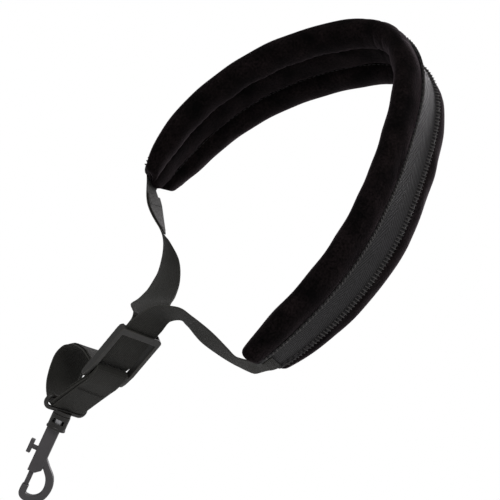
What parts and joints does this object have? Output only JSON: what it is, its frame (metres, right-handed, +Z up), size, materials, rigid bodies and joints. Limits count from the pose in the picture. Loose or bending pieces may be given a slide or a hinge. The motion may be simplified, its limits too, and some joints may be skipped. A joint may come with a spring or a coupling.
{
  "type": "saxophone neck strap",
  "caption": "Padded velour neck strap with webbing legs, a length slider and a swivel snap hook that carries an instrument from the neck.",
  "frame": {"origin": "on the hook's swivel axis, in the middle of the webbing fold that passes through the swivel eye, 2.4 mm under the eye's top bar", "axes": "+Z up along the hanging hook's axis, +X along the swivel eye's bars and the slider's width, +Y from the slider's front towards the neck side"},
  "size_m": [0.1629, 0.2153, 0.3926],
  "materials": {
    "velour": "short velour pile",
    "foam": "open-cell foam padding",
    "ribbon": "herringbone woven",
    "webbing": "ribbed weave",
    "thread": "sewing thread",
    "slider_plastic": "moulded, fine texture",
    "hook_shell": "matte",
    "steel": "plain"
  },
  "bodies": {
    "pad": {"neck_side_cover": "velour", "outer_cover": "velour", "top_foam_roll": "foam", "middle_foam": "foam", "bottom_foam_roll": "foam", "herringbone_ribbon": "ribbon", "ribbon_stitch_top": "thread", "ribbon_stitch_bottom": "thread", "seam_thread_top": "thread", "seam_thread_bottom": "thread", "left_webbing": "webbing", "right_webbing": "webbing", "left_joining_patch": "webbing", "left_box_stitch": "thread", "right_box_stitch": "thread"},
    "slider": {"slider_frame": "slider_plastic"},
    "loop": {"loop_inner_webbing": "webbing", "loop_outer_webbing": "webbing", "loop_bar_tack": "thread"},
    "eye": {"swivel_eye": "hook_shell", "swivel_pin": "steel"},
    "hook": {"swivel_collar": "hook_shell", "hook_body": "hook_shell", "body_plug": "steel", "gate_spring": "steel"},
    "gate": {"gate_bolt": "hook_shell", "thumb_tab": "hook_shell"}
  },
  "joints": [
    {"name": "slider_travel", "type": "slide", "parent": "pad", "child": "slider", "axis": [0, -0.4226, 0.9063], "range_m": [-0.02, 0.04], "deforming": ["left_webbing", "right_webbing"]},
    {"name": "loop_follow", "type": "slide", "parent": "slider", "child": "loop", "axis": [0, -0.4226, 0.9063], "range_m": [-0.02, 0.01], "deforming": ["loop_inner_webbing", "loop_outer_webbing"]},
    {"name": "eye_tilt", "type": "hinge", "parent": "loop", "child": "eye", "pos_m": [0, 0, 0.0024], "axis": [1, 0, 0], "range_deg": [-60, 45]},
    {"name": "hook_swivel", "type": "hinge", "parent": "eye", "child": "hook", "pos_m": [0, 0, 0], "axis": [0, 0, 1], "continuous": true},
    {"name": "gate_slide", "type": "slide", "parent": "hook", "child": "gate", "axis": [0, 0, 1], "range_m": [0, 0.007], "stiffness_N_per_m": 250, "springref_m": -0.003, "deforming": ["gate_spring"]}
  ],
  "couplings": [
    {"joint": "loop_follow", "follows": "slider_travel", "ratio": -0.5}
  ]
}
